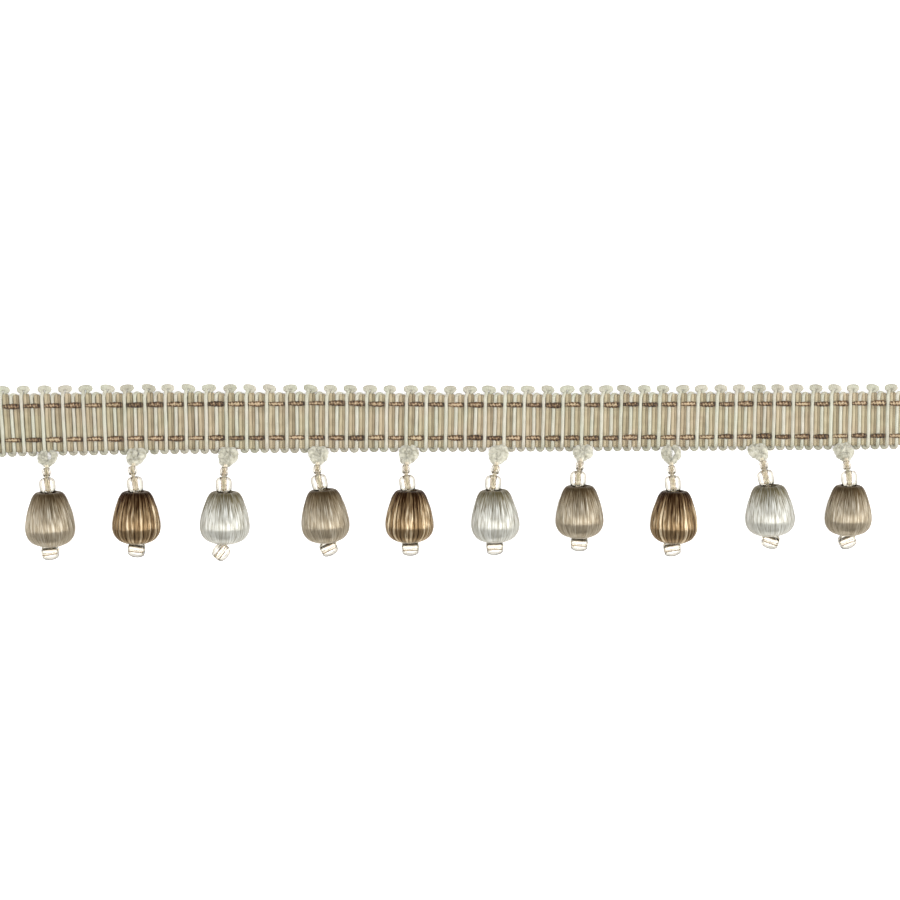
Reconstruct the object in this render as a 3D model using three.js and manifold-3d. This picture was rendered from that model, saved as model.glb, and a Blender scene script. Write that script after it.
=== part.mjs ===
// Beaded drop fringe trim, lying face up on a table, in millimetres.
// +X runs along the trim, +Y points from the drops to the looped top edge, +Z is up.
// The origin is in the middle of the heading's flat back.

import * as THREE from 'three';
import { mergeVertices } from 'three/addons/utils/BufferGeometryUtils.js';
import Module from 'manifold-3d';

// Heading: a braid of upright ribs, one repeat being an ivory and a beige rib with a tall
// loop over them, then an ivory and a beige rib with a low turn over them.
const REPEATS = 47;
const REPEAT = { first: -23, middle: -0.4, pitch: 5.665, closing: 0.0067 };
const LOOP_CENTRE_ACROSS = 0.2925;
const HALF_LENGTH = 129;
const HEADING_TALL = 17.2;

// One row for each groove or crest across a repeat: how far across the repeat it is, how high
// its face is, how much brown yarn lies over it, and how far it reaches down and up.
const RIB_COLUMNS = [
  { across: 0.0, face: 1.35, yarn: 0.62, down: 1.0, up: 0.0 },
  { across: 0.1125, face: 2.25, yarn: 0.0, down: 0.72, up: 0.75 },
  { across: 0.225, face: 1.35, yarn: 0.62, down: 0.0, up: 1.0 },
  { across: 0.375, face: 2.05, yarn: 1.0, down: 0.66, up: 0.75 },
  { across: 0.525, face: 1.35, yarn: 1.0, down: 1.0, up: 0.0 },
  { across: 0.625, face: 2.15, yarn: 1.0, down: 0.72, up: 0.75 },
  { across: 0.725, face: 1.35, yarn: 1.0, down: 0.0, up: 1.0 },
  { across: 0.8625, face: 2.05, yarn: 1.0, down: 0.66, up: 0.75 },
];
const LOOP_COLUMNS = { left: 1, middle: 2, right: 3 };

// The two rows of brown yarn, and how far the ribs reach past them.
const LOWER_YARN = -5.0;
const UPPER_YARN = 4.4;
const YARN_HALF = 0.62;
const YARN_CREST = 2.6;
const SCALLOP_REACH = 4.3;
const SCALLOP_DEEP = 1.4;
const TURN_REACH = 3.8;
const TURN_DEEP = 0.75;
const EDGE_ROUND = 0.42;
const EDGE_HIGH = 1.25;

// The trim isn't quite straight: it sways, its scallops shorten, and its ribs fan out.
const SWAY = 0.5;
const REACH_CHANGE = { slope: -0.6, bow: 0.3 };
const RIB_LEAN = { middle: -0.17, slope: -0.75, bow: 0.42 };
const UNEVEN = { edge: 0.09, loop: 0.14, face: 0.05 };

// The tall loop's outline and crest, from its centre line and from the upper yarn.
const LOOP_OUTLINE = [
  { side: -1.85, rise: 4.4 },
  { side: -1.3, rise: 5.25 },
  { side: 0.0, rise: 5.55 },
  { side: 1.3, rise: 5.25 },
  { side: 1.85, rise: 4.4 },
];
const LOOP_CREST = { side: 0.75, rise: 4.65, high: 1.85 };

// Drops: where each hangs from, where its beads lie, and how it leans.
const DROPS = [
  { silk: 'taupe', root: -115.6, seedX: -115.2, seedY: -15.0, glassX: -114.8, glassY: -18.6, silkX: -114.2,
    top: -20.2, bottom: -36.4, wide: 14.2, lean: 1.4, endX: -114.1, endDrop: 1.65, hole: 8 },
  { silk: 'brown', root: -90.2, seedX: -90.7, seedY: -14.5, glassX: -89.8, glassY: -18.3, silkX: -89.5,
    top: -20.0, bottom: -35.6, wide: 13.8, lean: 0.6, endX: -89.5, endDrop: 1.7, hole: -6 },
  { silk: 'silver', root: -63.5, seedX: -64.5, seedY: -14.8, glassX: -64.5, glassY: -18.4, silkX: -64.2,
    top: -20.1, bottom: -35.6, wide: 14.2, lean: -1.0, endX: -65.3, endDrop: 2.4, hole: 52 },
  { silk: 'taupe', root: -37.7, seedX: -37.9, seedY: -14.2, glassX: -37.3, glassY: -17.7, silkX: -35.9,
    top: -19.5, bottom: -35.3, wide: 13.7, lean: 4.0, endX: -34.6, endDrop: 1.6, hole: 25 },
  { silk: 'brown', root: -11.9, seedX: -12.6, seedY: -14.1, glassX: -12.2, glassY: -17.9, silkX: -11.6,
    top: -19.7, bottom: -35.2, wide: 13.8, lean: 0.6, endX: -11.3, endDrop: 1.65, hole: 2 },
  { silk: 'silver', root: 13.9, seedX: 13.0, seedY: -14.2, glassX: 12.3, glassY: -17.9, silkX: 12.7,
    top: -19.6, bottom: -35.2, wide: 13.7, lean: 3.0, endX: 12.8, endDrop: 1.4, hole: 3 },
  { silk: 'taupe', root: 38.1, seedX: 37.1, seedY: -13.2, glassX: 36.5, glassY: -16.7, silkX: 36.9,
    top: -18.4, bottom: -33.9, wide: 13.7, lean: 0.5, endX: 36.9, endDrop: 1.65, hole: -3 },
  { silk: 'brown', root: 63.4, seedX: 63.3, seedY: -14.3, glassX: 63.5, glassY: -18.0, silkX: 64.0,
    top: -19.9, bottom: -35.5, wide: 13.5, lean: -1.0, endX: 63.4, endDrop: 1.5, hole: 10 },
  { silk: 'silver', root: 88.5, seedX: 89.6, seedY: -12.9, glassX: 90.0, glassY: -16.4, silkX: 91.1,
    top: -18.3, bottom: -33.4, wide: 14.1, lean: 2.3, endX: 91.5, endDrop: 1.4, hole: -18 },
  { silk: 'taupe', root: 113.2, seedX: 113.3, seedY: -13.0, glassX: 113.8, glassY: -16.6, silkX: 113.7,
    top: -18.3, bottom: -33.2, wide: 13.4, lean: -0.3, endX: 113.4, endDrop: 1.65, hole: 22 },
];

// Silk bead: its outer face from the bottom up, as shares of its height and half width.
const SILK_PROFILE = [
  { up: 0.0, out: 0.42 },
  { up: 0.05, out: 0.69 },
  { up: 0.16, out: 0.93 },
  { up: 0.32, out: 1.0 },
  { up: 0.47, out: 0.97 },
  { up: 0.68, out: 0.86 },
  { up: 0.87, out: 0.7 },
  { up: 0.965, out: 0.58 },
  { up: 1.0, out: 0.41 },
];
const SILK_HOLE = { radius: 1.0, topSeat: 1.8, bottomSeat: 2.6 };
const SILK_SIDES = 16;
const SILK_TILT = 7.5;
const RIDGES = 16;
const RIDGE_DEEP = 0.32;

// Glass beads: half lengths along the hole, and radii at the hole, the rim and the belly.
const GLASS = { half: 2.05, hole: 1.15, rim: 1.55, belly: 2.35, shoulder: 1.05, sides: 8 };
const END = { half: 2.4, hole: 1.0, rim: 1.6, belly: 2.35, shoulder: 1.15, sides: 8 };
const SEED = { half: 1.2, hole: 0.95, belly: 1.28, shoulder: 0.55, sides: 8 };
const SEED_HIGH = 6.2;
const GLASS_HIGH = 7.8;

// Yarn loop that ties each drop to the heading, and the strand that runs down its beads.
const TIE_LOOP = { ring: 1.5, yarn: 1.12, wide: 1.06, thick: 0.8, pitch: 22, high: 2.05 };
const TIE_LOOP_SIDES = { around: 5, along: 9 };
const TIE_GAP = 0.35;
const TIE_ROOM = 3.3;
const STRAND = { radius: 0.45, sides: 5, steps: 11, end: 1.6 };

const COLOURS = {
  heading: { color: 0xc9bd9f, roughness: 0.8, metalness: 0.0 },
  tie: { color: 0xe6e2d3, roughness: 0.95, metalness: 0.0 },
  glass: { color: 0xe9dfc4, roughness: 0.08, metalness: 0.0 },
  taupe: { color: 0xa59a82, roughness: 0.35, metalness: 0.1 },
  brown: { color: 0x8a6a42, roughness: 0.35, metalness: 0.1 },
  silver: { color: 0xc8c6bc, roughness: 0.3, metalness: 0.1 },
};

const wasm = await Module();
wasm.setup();

/** A small steady change, from -1 to 1, that differs from one piece to the next. */
function uneven(index, kind) {
  return (Math.sin(2.4 * index + kind) + Math.sin(5.3 * index + 2 * kind)) / 2;
}

/** Middle of the tall loop of a repeat. */
function repeatCentre(repeat) {
  return REPEAT.middle + REPEAT.pitch * repeat - REPEAT.closing * repeat * repeat;
}

/** Place along the trim as a share of its half length. */
function share(x) {
  return x / HALF_LENGTH;
}

/** Height of a row of yarn at a place along the trim. */
function swayed(y, x) {
  return y + SWAY * share(x) ** 3;
}

/** How far the scallops reach below the lower yarn at a place along the trim. */
function scallopReach(x) {
  const along = share(x);
  return SCALLOP_REACH + REACH_CHANGE.slope * along + REACH_CHANGE.bow * along * along;
}

/** Where the ribs end at the bottom when no scallop turns under them. */
function ribEnd(x) {
  return swayed(LOWER_YARN, x) - scallopReach(x) + SCALLOP_DEEP;
}

/** Sideways place of a point that leans with the ribs. */
function leaned(x, y) {
  const along = share(x);
  const lean = RIB_LEAN.middle + RIB_LEAN.slope * along + RIB_LEAN.bow * along * along;
  return x + lean * (swayed(UPPER_YARN, x) - y) / HEADING_TALL;
}

/** One column of the heading, from its bottom edge over its face to its top edge. */
function headingColumn(repeat, column) {
  const { across, face, yarn, down, up } = RIB_COLUMNS[column];
  const index = repeat * RIB_COLUMNS.length + column;
  const pitch = repeatCentre(repeat + 1) - repeatCentre(repeat);
  const x = repeatCentre(repeat) + (across - LOOP_CENTRE_ACROSS) * pitch;
  const tied = DROPS.some((drop) => Math.abs(drop.root - x) < TIE_ROOM);
  const scallop = tied ? 0 : down * SCALLOP_DEEP;
  const lower = swayed(LOWER_YARN, x);
  const upper = swayed(UPPER_YARN, x);
  const bottom = ribEnd(x) - scallop + UNEVEN.edge * uneven(index, 1);
  const top = upper + TURN_REACH - TURN_DEEP * (1 - up) + UNEVEN.edge * uneven(index, 2);
  const high = face + UNEVEN.face * uneven(index, 3);
  const crest = Math.max(high, yarn * YARN_CREST);
  const rows = [
    { y: bottom, z: 0 },
    { y: bottom + EDGE_ROUND, z: EDGE_HIGH },
    { y: lower - YARN_HALF, z: high },
    { y: lower, z: crest },
    { y: lower + YARN_HALF, z: high },
    { y: upper - YARN_HALF, z: high },
    { y: upper, z: crest },
    { y: upper + YARN_HALF, z: high },
    { y: top - EDGE_ROUND, z: EDGE_HIGH },
    { y: top, z: 0 },
  ];
  return rows.map(({ y, z }) => new THREE.Vector3(leaned(x, y), y, z));
}

/** Outline and crest points of the tall loop over a repeat. */
function loopPoints(repeat) {
  const centre = repeatCentre(repeat);
  const upper = swayed(UPPER_YARN, centre);
  const taller = UNEVEN.loop * uneven(repeat, 4);
  const place = (side, rise, z) => new THREE.Vector3(leaned(centre + side, upper + rise), upper + rise, z);
  const outline = LOOP_OUTLINE.map(({ side, rise }) => place(side, rise + taller, 0));
  const crestRise = LOOP_CREST.rise + taller;
  const crests = [-1, 1].map((side) => place(side * LOOP_CREST.side, crestRise, LOOP_CREST.high));
  return { outline, crests };
}

/** The braided heading with its scallops, yarn rows, low turns and tall loops, flat at the back. */
function headingGeometry() {
  const points = [];
  const triangles = [];
  const addPoint = (point) => points.push(point) - 1;
  const addFan = (hub, rim) => {
    for (let i = 0; i < rim.length - 1; i += 1) {
      triangles.push(hub, rim[i], rim[i + 1]);
    }
  };
  const columns = [];
  for (let repeat = 0; repeat < REPEATS; repeat += 1) {
    RIB_COLUMNS.forEach((unused, column) => {
      columns.push(headingColumn(REPEAT.first + repeat, column).map(addPoint));
    });
  }
  columns.push(headingColumn(REPEAT.first + REPEATS, 0).map(addPoint));
  const last = columns[0].length - 1;
  for (let i = 0; i < columns.length - 1; i += 1) {
    const [here, next] = [columns[i], columns[i + 1]];
    const column = i % RIB_COLUMNS.length;
    const underLoop = column >= LOOP_COLUMNS.left && column < LOOP_COLUMNS.right;
    const faceRows = underLoop ? last - 1 : last;
    for (let row = 0; row < faceRows; row += 1) {
      triangles.push(here[row], next[row], next[row + 1]);
      triangles.push(here[row], next[row + 1], here[row + 1]);
    }
    triangles.push(here[0], next[last], next[0]);
    triangles.push(here[0], here[last], next[last]);
  }
  for (let repeat = 0; repeat < REPEATS; repeat += 1) {
    const base = repeat * RIB_COLUMNS.length;
    const [left, middle, right] = Object.values(LOOP_COLUMNS).map((column) => columns[base + column]);
    const { outline, crests } = loopPoints(REPEAT.first + repeat);
    const rim = outline.map(addPoint);
    const [leftCrest, rightCrest] = crests.map(addPoint);
    const shoulder = last - 1;
    addFan(leftCrest, [rim[2], rim[1], rim[0], left[last], left[shoulder], middle[shoulder]]);
    addFan(rightCrest, [middle[shoulder], right[shoulder], right[last], rim[4], rim[3], rim[2]]);
    triangles.push(leftCrest, middle[shoulder], rightCrest);
    triangles.push(leftCrest, rightCrest, rim[2]);
    addFan(middle[last], [left[last], rim[0], rim[1], rim[2], rim[3], rim[4], right[last]]);
  }
  addFan(columns[0][0], columns[0].slice(1));
  const end = columns[columns.length - 1];
  addFan(end[0], end.slice(1).reverse());
  const geometry = new THREE.BufferGeometry().setFromPoints(points);
  geometry.setIndex(triangles);
  return geometry;
}

/** A turned bead from a closed profile of points out from the axis and along it. */
function turned(profile, sides) {
  const closed = [...profile, profile[0]].map(([out, along]) => new THREE.Vector2(out, along));
  return new THREE.LatheGeometry(closed, sides, Math.PI / sides);
}

/** Silk-covered bead with a hole along it and a dished seat at each end. */
function silkGeometry(wide, tall, ridged) {
  const sides = ridged ? 2 * RIDGES : SILK_SIDES;
  const half = wide / 2 / Math.cos(Math.PI / sides);
  const outer = SILK_PROFILE.map(({ up, out }) => [out * half, (up - 0.5) * tall]);
  const inner = [
    [SILK_HOLE.radius, tall / 2 - SILK_HOLE.topSeat],
    [SILK_HOLE.radius, SILK_HOLE.bottomSeat - tall / 2],
  ];
  const geometry = turned([...outer, ...inner], sides);
  if (ridged) {
    const places = geometry.attributes.position;
    const rings = outer.length + inner.length + 1;
    for (let i = 0; i < places.count; i += 1) {
      const side = Math.floor(i / rings) % sides;
      const ring = i % rings;
      const ownRing = ring > 0 && ring < outer.length - 1;
      if (ownRing && side % 2 === 1) {
        const out = Math.hypot(places.getX(i), places.getZ(i));
        const kept = 1 - (RIDGE_DEEP * outer[ring][0] / half) / out;
        places.setXYZ(i, places.getX(i) * kept, places.getY(i), places.getZ(i) * kept);
      }
    }
  }
  return geometry;
}

/** Clear bead with a straight hole, a round belly and a flat rim at each end. */
function glassGeometry({ half, hole, rim, belly, shoulder, sides }) {
  const lowerHalf = [[hole, -half], [rim, -half], [belly, -shoulder]];
  const upperHalf = [[belly, shoulder], [rim, half], [hole, half]];
  return turned([...lowerHalf, ...upperHalf], sides);
}

/** Small clear bead with a straight hole. */
function seedGeometry({ half, hole, belly, shoulder, sides }) {
  return turned([[hole, -half], [belly, -shoulder], [belly, shoulder], [hole, half]], sides);
}

/** A closed geometry as a solid that can be joined to another. */
function solidOf(geometry) {
  const bare = geometry.clone();
  bare.deleteAttribute('normal');
  bare.deleteAttribute('uv');
  const merged = mergeVertices(bare);
  const vertProperties = new Float32Array(merged.attributes.position.array);
  const triVerts = new Uint32Array(merged.index.array);
  return new wasm.Manifold(new wasm.Mesh({ numProp: 3, vertProperties, triVerts }));
}

/** A joined solid as a geometry. */
function geometryOf(solid) {
  const mesh = solid.getMesh();
  const geometry = new THREE.BufferGeometry();
  geometry.setAttribute('position', new THREE.BufferAttribute(mesh.vertProperties, 3));
  geometry.setIndex(new THREE.BufferAttribute(mesh.triVerts, 1));
  return geometry;
}

/** Turn that lays a bead's own axis along a line from a lower point to an upper one. */
function turnAlong(lower, upper) {
  const along = new THREE.Vector3().subVectors(upper, lower).normalize();
  return new THREE.Quaternion().setFromUnitVectors(new THREE.Vector3(0, 1, 0), along);
}

/** Length of a silk bead along its own axis, whose rims reach the drop's top and bottom. */
function silkLength({ top, bottom, wide }) {
  const tilt = THREE.MathUtils.degToRad(SILK_TILT);
  const rims = (SILK_PROFILE[0].out + SILK_PROFILE[SILK_PROFILE.length - 1].out) * wide / 2;
  return (top - bottom - rims * Math.sin(tilt)) / Math.cos(tilt);
}

/** The places of one drop's pieces, worked out from its row. */
function dropPlaces(drop, silkHigh) {
  const leaning = THREE.MathUtils.degToRad(drop.lean);
  const tilt = THREE.MathUtils.degToRad(SILK_TILT);
  const upward = new THREE.Vector3(-Math.sin(leaning), Math.cos(leaning), Math.sin(tilt)).normalize();
  const middle = new THREE.Vector3(drop.silkX, (drop.top + drop.bottom) / 2, silkHigh);
  const half = silkLength(drop) / 2;
  const silkTop = middle.clone().addScaledVector(upward, half);
  const silkBottom = middle.clone().addScaledVector(upward, -half);
  const silkMouth = silkTop.clone().addScaledVector(upward, -SILK_HOLE.topSeat);
  const loopTop = ribEnd(drop.root) - TIE_GAP;
  const loopHalf = (loopTop - drop.seedY - SEED.half - TIE_GAP) / 2;
  const loopTall = loopHalf / (TIE_LOOP.ring + TIE_LOOP.yarn);
  const loop = new THREE.Vector3(drop.root, loopTop - loopHalf, TIE_LOOP.high);
  const foot = new THREE.Vector3(0, -TIE_LOOP.ring * loopTall, 0);
  foot.applyAxisAngle(new THREE.Vector3(1, 0, 0), THREE.MathUtils.degToRad(-TIE_LOOP.pitch)).add(loop);
  const seed = new THREE.Vector3(drop.seedX, drop.seedY, SEED_HIGH);
  const glass = new THREE.Vector3(drop.glassX, drop.glassY, GLASS_HIGH);
  const end = new THREE.Vector3(drop.endX, drop.bottom - drop.endDrop, silkBottom.z);
  return { upward, middle, silkTop, silkBottom, silkMouth, loop, loopTall, foot, seed, glass, end };
}

/** Yarn loop joined to the strand that runs down through the beads. */
function tieGeometry({ upward, silkMouth, silkBottom, loop, loopTall, foot, seed, glass }) {
  const ring = new THREE.TorusGeometry(
    TIE_LOOP.ring, TIE_LOOP.yarn, TIE_LOOP_SIDES.around, TIE_LOOP_SIDES.along);
  ring.scale(TIE_LOOP.wide, loopTall, TIE_LOOP.thick);
  ring.rotateX(THREE.MathUtils.degToRad(-TIE_LOOP.pitch));
  ring.translate(loop.x, loop.y, loop.z);
  const route = new THREE.CatmullRomCurve3([
    foot,
    seed,
    glass,
    silkMouth,
    silkBottom.clone().addScaledVector(upward, STRAND.end),
  ]);
  const section = new THREE.Shape();
  for (let i = 0; i < STRAND.sides; i += 1) {
    const angle = 2 * Math.PI * i / STRAND.sides;
    const [x, y] = [STRAND.radius * Math.cos(angle), STRAND.radius * Math.sin(angle)];
    if (i === 0) {
      section.moveTo(x, y);
    } else {
      section.lineTo(x, y);
    }
  }
  section.closePath();
  const strand = new THREE.ExtrudeGeometry(section, { steps: STRAND.steps, extrudePath: route });
  return geometryOf(solidOf(ring).add(solidOf(strand)));
}

/** A mesh of its own material, named for its node. */
function piece(name, geometry, colour) {
  const mesh = new THREE.Mesh(geometry, new THREE.MeshStandardMaterial(COLOURS[colour]));
  mesh.name = name;
  return mesh;
}

/** Height at which a turned and tilted silk bead touches the table. */
function restingHeight(geometry, turn) {
  const turnedBead = geometry.clone().applyQuaternion(turn);
  turnedBead.computeBoundingBox();
  return -turnedBead.boundingBox.min.z;
}

/** One drop: its tie, seed bead, glass bead, silk bead and end bead. */
function dropGroup(drop, number) {
  const group = new THREE.Group();
  const suffix = String(number).padStart(2, '0');
  const silk = piece(
    `silk_bead_${suffix}`,
    silkGeometry(drop.wide, silkLength(drop), drop.silk === 'brown'),
    drop.silk);
  const level = dropPlaces(drop, 0);
  silk.quaternion.copy(turnAlong(level.silkBottom, level.silkTop));
  const places = dropPlaces(drop, restingHeight(silk.geometry, silk.quaternion));
  silk.position.copy(places.middle);
  const seed = piece(`seed_bead_${suffix}`, seedGeometry(SEED), 'glass');
  seed.position.copy(places.seed);
  seed.quaternion.copy(turnAlong(places.glass, places.foot));
  const glass = piece(`glass_bead_${suffix}`, glassGeometry(GLASS), 'glass');
  glass.position.copy(places.glass);
  glass.quaternion.copy(turnAlong(places.silkMouth, places.seed));
  const end = piece(`end_bead_${suffix}`, glassGeometry(END), 'glass');
  end.position.copy(places.end);
  end.rotation.z = THREE.MathUtils.degToRad(drop.hole - 90);
  group.add(piece(`tie_${suffix}`, tieGeometry(places), 'tie'), seed, glass, silk, end);
  return group;
}

const trim = new THREE.Group();
trim.add(piece('heading', headingGeometry(), 'heading'));
DROPS.forEach((drop, index) => trim.add(dropGroup(drop, index + 1)));

export default trim;
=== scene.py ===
"""Looks of a beaded drop fringe trim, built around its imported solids, in metres."""

import logging
import math
from collections.abc import Sequence
from dataclasses import dataclass, field
from enum import Enum

import bpy
import numpy as np
from mathutils import Matrix, Vector

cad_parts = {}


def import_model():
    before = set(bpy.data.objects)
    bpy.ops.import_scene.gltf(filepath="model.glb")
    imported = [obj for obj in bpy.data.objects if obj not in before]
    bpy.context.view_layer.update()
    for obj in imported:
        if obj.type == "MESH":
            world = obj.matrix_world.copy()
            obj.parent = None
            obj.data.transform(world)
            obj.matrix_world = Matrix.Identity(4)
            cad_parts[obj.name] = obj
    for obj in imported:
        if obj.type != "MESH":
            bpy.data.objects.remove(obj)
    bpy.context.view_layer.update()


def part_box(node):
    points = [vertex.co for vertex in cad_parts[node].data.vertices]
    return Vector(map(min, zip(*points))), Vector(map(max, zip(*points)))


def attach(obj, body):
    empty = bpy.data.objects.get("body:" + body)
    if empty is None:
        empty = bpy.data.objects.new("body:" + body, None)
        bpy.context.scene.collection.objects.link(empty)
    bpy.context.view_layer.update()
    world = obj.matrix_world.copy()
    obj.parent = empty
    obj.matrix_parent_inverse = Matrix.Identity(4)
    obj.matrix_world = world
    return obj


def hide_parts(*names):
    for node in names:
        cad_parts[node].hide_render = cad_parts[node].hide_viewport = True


LOG = logging.getLogger("drop_fringe")
MM = 0.001
UP = Vector((0.0, 0.0, 1.0))
TINY = 1e-9
NEARLY_UPRIGHT = 0.05
WAVE_UNIT = 0.3142  # the wave texture's scale for one ridge a unit
UV_NAME = "UVMap"
TONE_NAME = "tone"

Pair = tuple[float, float]
Point = tuple[float, float, float]
Colour = tuple[float, float, float]
Row = tuple[float, ...]
Outline = tuple[Pair, ...]
Rows = tuple[Row, ...]
Socket = bpy.types.NodeSocket
Piece = bpy.types.Object

SILK_TILT = 7.5  # how far the silk beads' tops are raised, in degrees
SILK_BELLY = 0.34  # where they are widest, as a share of their length


class Silk(Enum):
    """The winding of a silk bead, with its material slot in the record."""

    TAUPE = "taupe_silk"
    BROWN = "brown_silk"
    SILVER = "silver_silk"


@dataclass(frozen=True)
class BraidPlan:
    """Where the braid's ribs, yarn rows and turns lie, in millimetres."""

    repeats: int = 47
    first: int = -23
    middle: float = -0.2
    pitch: float = 5.665
    closing: float = 0.0067
    loop_across: float = 0.2925
    half_length: float = 129.0
    tall: float = 17.2
    lower_yarn: float = -5.0
    upper_yarn: float = 4.4
    scallop_reach: float = 4.3
    scallop_deep: float = 1.4
    scallop_gap: float = 0.12
    ground_reach: float = 2.7
    reach_slope: float = -0.6
    reach_bow: float = 0.3
    sway: float = 0.5
    lean_middle: float = -0.3
    lean_slope: float = -0.78
    lean_bow: float = 0.75
    drift_places: Row = (-115, -86, -57, -29, 0, 29, 57, 86, 115)
    side_drift: Row = (0.25, 0.25, 0.17, 0.12, 0.15, -0.06, -0.14, -0.19, 0.02)
    top_drift: Row = (0.13, 0.32, 0.14, -0.06, -0.29, -0.24, -0.15, 0.0, -0.23)
    upper_drift: Row = (-0.06, 0.09, 0.32, 0.34, -0.03, -0.14, 0.06, 0.11, -0.03)
    lower_drift: Row = (-0.37, -0.11, -0.09, -0.09, -0.09, -0.23, -0.06, 0.11, 0.03)

    def numbers(self) -> range:
        """The repeats' numbers, from the left end to the right."""
        return range(self.first, self.first + self.repeats)

    def share(self, x: float) -> float:
        """Place along the trim as a share of its half length."""
        return x / self.half_length

    def centre(self, repeat: int) -> float:
        """Middle of the tall loop of a repeat."""
        even = self.middle + self.pitch * repeat - self.closing * repeat * repeat
        return even + self.drifted(even, self.side_drift)

    def column(self, repeat: int, across: float) -> float:
        """Place of a rib that lies a share of the way across a repeat."""
        pitch = self.centre(repeat + 1) - self.centre(repeat)
        return self.centre(repeat) + (across - self.loop_across) * pitch

    def swayed(self, y: float, x: float) -> float:
        """Height of a row at a place along the trim."""
        return y + self.sway * self.share(x) ** 3

    def drifted(self, x: float, drift: Row) -> float:
        """How far a hand-guided row strays at a place along the trim."""
        return float(np.interp(x, self.drift_places, drift))

    def yarn_rows(self, x: float) -> Pair:
        """Heights of the lower and the upper yarn row at a place along the trim."""
        lower = self.swayed(self.lower_yarn, x) + self.drifted(x, self.lower_drift)
        return lower, self.swayed(self.upper_yarn, x) + self.drifted(x, self.upper_drift)

    def rib_end(self, x: float) -> float:
        """Where the ribs end at the bottom, above the scallops.

        Args:
            x: Place along the trim.

        Returns:
            Its height.
        """
        along = self.share(x)
        reach = self.scallop_reach + self.reach_slope * along + self.reach_bow * along**2
        return self.swayed(self.lower_yarn, x) - reach + self.scallop_deep - self.scallop_gap

    def top(self, x: float) -> float:
        """The line from which the turns and loops at the top are measured."""
        return self.swayed(self.upper_yarn, x) + self.drifted(x, self.top_drift)

    def leaned(self, x: float, y: float) -> float:
        """Sideways place of a point that leans with the ribs.

        Args:
            x: Place along the trim at the upper yarn row.
            y: Height of the point.

        Returns:
            Its place along the trim.
        """
        along = self.share(x)
        lean = self.lean_middle + self.lean_slope * along + self.lean_bow * along**2
        return x + lean * (self.swayed(self.upper_yarn, x) - y) / self.tall


@dataclass(frozen=True)
class Winding:
    """How many threads go round a bead and how evenly they lie, with their grooves in millimetres."""

    threads: int = 96
    sides: int = 3
    groove: float = 0.07
    stray: float = 0.25
    spread: float = 0.32


@dataclass(frozen=True)
class Drop:
    """One drop: its winding, where it hangs from, and how its beads are turned."""

    silk: Silk
    root: float
    lean: float
    hole: float
    loop_open: float
    loop_slant: float
    wind: float

    @property
    def winding(self) -> Winding:
        """Coarse cords on the brown beads and fine threads on the others."""
        return Winding(32, 8, 0.36, 0.16, 0.9) if self.silk is Silk.BROWN else Winding()

    @property
    def across(self) -> Vector:
        """Direction of the end bead's hole."""
        return Vector((math.cos(math.radians(self.hole)), math.sin(math.radians(self.hole)), 0.0))

    @property
    def upward(self) -> Vector:
        """Direction from the foot of the silk bead to its top."""
        lean, tilt = math.radians(self.lean), math.radians(SILK_TILT)
        return Vector((-math.sin(lean), math.cos(lean), math.sin(tilt))).normalized()


DROPS = (
    Drop(Silk.TAUPE, -115.6, 1.4, 8.0, 1.0, 0.2, -14.0),
    Drop(Silk.BROWN, -90.2, 0.6, -6.0, 0.2, 0.2, 3.0),
    Drop(Silk.SILVER, -63.5, -1.0, 52.0, 0.1, -0.15, -5.0),
    Drop(Silk.TAUPE, -37.7, 4.0, 25.0, 0.1, 0.0, -8.0),
    Drop(Silk.BROWN, -11.9, 0.6, 2.0, 0.0, 0.05, 4.0),
    Drop(Silk.SILVER, 13.9, 3.0, 3.0, 0.0, 0.05, 4.0),
    Drop(Silk.TAUPE, 38.1, 0.5, -3.0, 0.2, 0.1, -4.0),
    Drop(Silk.BROWN, 63.4, -1.0, 10.0, 0.85, -0.1, -3.0),
    Drop(Silk.SILVER, 88.5, 2.3, -18.0, 0.0, -0.4, -5.0),
    Drop(Silk.TAUPE, 113.2, -0.3, 22.0, -0.3, -0.5, 5.0),
)


def round_angles(count: int) -> np.ndarray:
    """Even angles once round, in radians."""
    return np.linspace(0, 2 * math.pi, count, endpoint=False)


def run_along(path: np.ndarray) -> np.ndarray:
    """How far along a path each of its points lies."""
    return np.concatenate([[0.0], np.cumsum(np.linalg.norm(np.diff(path, axis=0), axis=1))])


def turned_points(radius: np.ndarray, angle: np.ndarray, up: np.ndarray) -> np.ndarray:
    """Points round the upright axis, as rings by points by three."""
    return np.stack(np.broadcast_arrays(radius * np.cos(angle), radius * np.sin(angle), up), axis=-1)


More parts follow.
